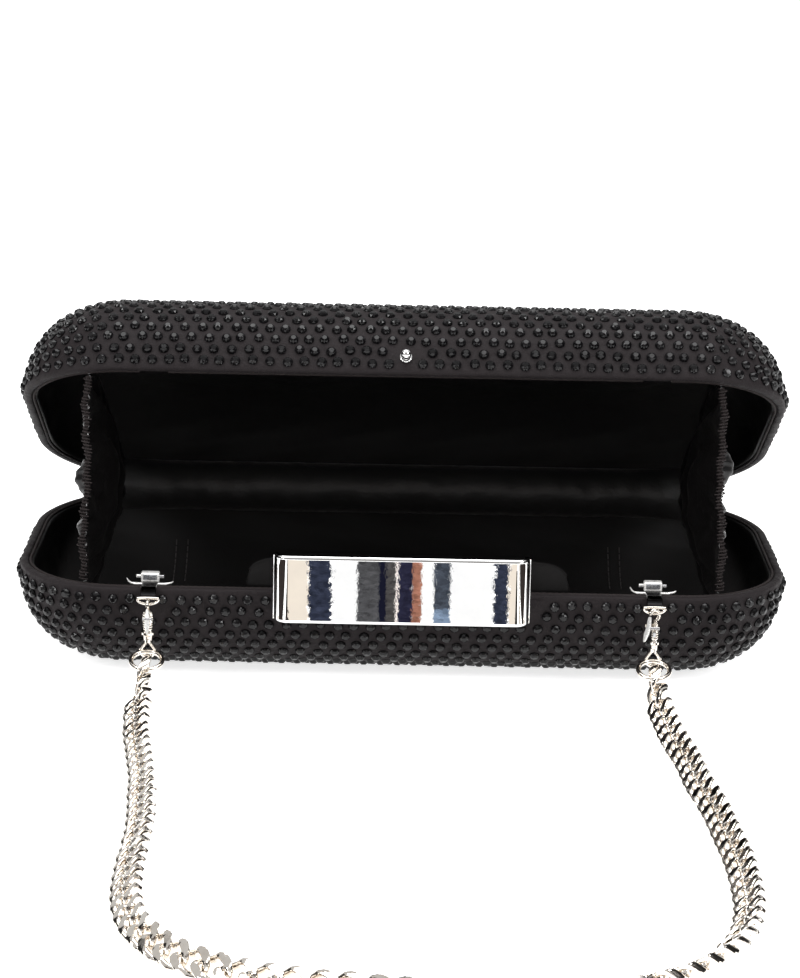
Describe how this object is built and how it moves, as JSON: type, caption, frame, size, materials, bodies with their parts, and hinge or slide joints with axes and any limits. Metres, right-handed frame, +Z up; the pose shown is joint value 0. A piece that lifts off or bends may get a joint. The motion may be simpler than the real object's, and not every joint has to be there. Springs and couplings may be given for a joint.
{
  "type": "evening bag",
  "caption": "Hard-case clutch of two hinged domed halves covered in black satin and rhinestones, with a chrome bar clasp and a chain strap on swivel clasps.",
  "frame": {"origin": "centre of the flat face that the front half lies on", "axes": "+X along the width, +Y towards the hinge, +Z up; the mouth faces -Y"},
  "size_m": [0.198, 0.2976, 0.0926],
  "materials": {
    "black_satin": "satin cloth",
    "lining_satin": "smooth satin",
    "piping": "satin cloth",
    "elastic": "matte",
    "shell_board": "matte",
    "chrome": "mirror",
    "silver_chain": "polished",
    "dark_chrome": "polished",
    "steel": "plain"
  },
  "bodies": {
    "front": {"front_satin_cover": "black_satin", "front_shell": "shell_board", "front_lining": "lining_satin", "front_piping": "piping", "front_hinge_leaf": "steel", "front_hinge_rivets": "steel", "hinge_pin": "steel", "spine_lining": "lining_satin", "slip_pocket": "lining_satin", "left_gusset": "lining_satin", "right_gusset": "lining_satin", "left_gusset_elastic": "elastic", "right_gusset_elastic": "elastic", "clasp_base": "steel", "clasp_base_rivets": "steel", "clasp_pin": "steel", "left_strap_bracket": "dark_chrome", "left_bracket_rivet": "steel", "left_tab_pin": "steel", "right_strap_bracket": "dark_chrome", "right_bracket_rivet": "steel", "right_tab_pin": "steel", "left_chain": "silver_chain", "right_chain": "silver_chain", "end_chain": "silver_chain"},
    "back": {"back_satin_cover": "black_satin", "back_shell": "shell_board", "back_lining": "lining_satin", "back_piping": "piping", "back_hinge_leaf": "steel", "back_hinge_rivets": "steel", "ball_stud": "chrome", "stud_nut": "steel"},
    "clasp_bar": {"clasp_bar": "chrome", "clasp_spring": "steel"},
    "left_tab": {"left_strap_tab": "dark_chrome"},
    "left_clasp": {"left_lobster_body": "chrome", "left_trigger_pin": "steel", "left_trigger_spring": "steel"},
    "left_trigger": {"left_lobster_trigger": "chrome"},
    "left_eye": {"left_swivel_eye": "chrome"},
    "left_ring": {"left_jump_ring": "chrome"},
    "right_tab": {"right_strap_tab": "dark_chrome"},
    "right_clasp": {"right_lobster_body": "chrome", "right_trigger_pin": "steel", "right_trigger_spring": "steel"},
    "right_trigger": {"right_lobster_trigger": "chrome"},
    "right_eye": {"right_swivel_eye": "chrome"},
    "right_ring": {"right_jump_ring": "chrome"}
  },
  "joints": [
    {"name": "lid_hinge", "type": "hinge", "parent": "front", "child": "back", "pos_m": [0, 0.051, 0.02625], "axis": [1, 0, 0], "range_deg": [0, 31], "deforming": ["left_gusset", "right_gusset", "left_gusset_elastic", "right_gusset_elastic", "spine_lining", "clasp_spring"]},
    {"name": "clasp_bar_hinge", "type": "hinge", "parent": "front", "child": "clasp_bar", "pos_m": [0, -0.0534, 0.0203], "axis": [1, 0, 0], "range_deg": [0, 30], "stiffness_Nm_per_rad": 0.02, "springref_deg": -5.73},
    {"name": "left_tab_hinge", "type": "hinge", "parent": "front", "child": "left_tab", "pos_m": [-0.0635, -0.04494, 0.0273], "axis": [-1, 0, 0], "range_deg": [0, 1]},
    {"name": "left_clasp_swing", "type": "hinge", "parent": "left_tab", "child": "left_clasp", "pos_m": [-0.0635, -0.053, 0.0225], "axis": [1, 0, 0], "range_deg": [-2, 1]},
    {"name": "left_trigger_lever", "type": "hinge", "parent": "left_clasp", "child": "left_trigger", "pos_m": [-0.0635, -0.05535, 0.01925], "axis": [-1, 0, 0], "range_deg": [0, 25], "stiffness_Nm_per_rad": 0.0005, "springref_deg": -17.19},
    {"name": "left_swivel", "type": "hinge", "parent": "left_clasp", "child": "left_eye", "pos_m": [-0.0635, -0.05375, 0.0107], "axis": [0, 0, 1], "range_deg": [-10, 10]},
    {"name": "left_ring_swing", "type": "hinge", "parent": "left_eye", "child": "left_ring", "pos_m": [-0.0635, -0.05375, 0.00895], "axis": [1, 0, 0], "range_deg": [-4, 4]},
    {"name": "right_tab_hinge", "type": "hinge", "parent": "front", "child": "right_tab", "pos_m": [0.0635, -0.04494, 0.0273], "axis": [-1, 0, 0], "range_deg": [0, 1]},
    {"name": "right_clasp_swing", "type": "hinge", "parent": "right_tab", "child": "right_clasp", "pos_m": [0.0635, -0.053, 0.0225], "axis": [1, 0, 0], "range_deg": [-2, 1]},
    {"name": "right_trigger_lever", "type": "hinge", "parent": "right_clasp", "child": "right_trigger", "pos_m": [0.0635, -0.05535, 0.01925], "axis": [-1, 0, 0], "range_deg": [0, 25], "stiffness_Nm_per_rad": 0.0005, "springref_deg": -17.19},
    {"name": "right_swivel", "type": "hinge", "parent": "right_clasp", "child": "right_eye", "pos_m": [0.0635, -0.05375, 0.0107], "axis": [0, 0, 1], "range_deg": [-10, 10]},
    {"name": "right_ring_swing", "type": "hinge", "parent": "right_eye", "child": "right_ring", "pos_m": [0.0635, -0.05375, 0.00895], "axis": [1, 0, 0], "range_deg": [-4, 4]}
  ]
}
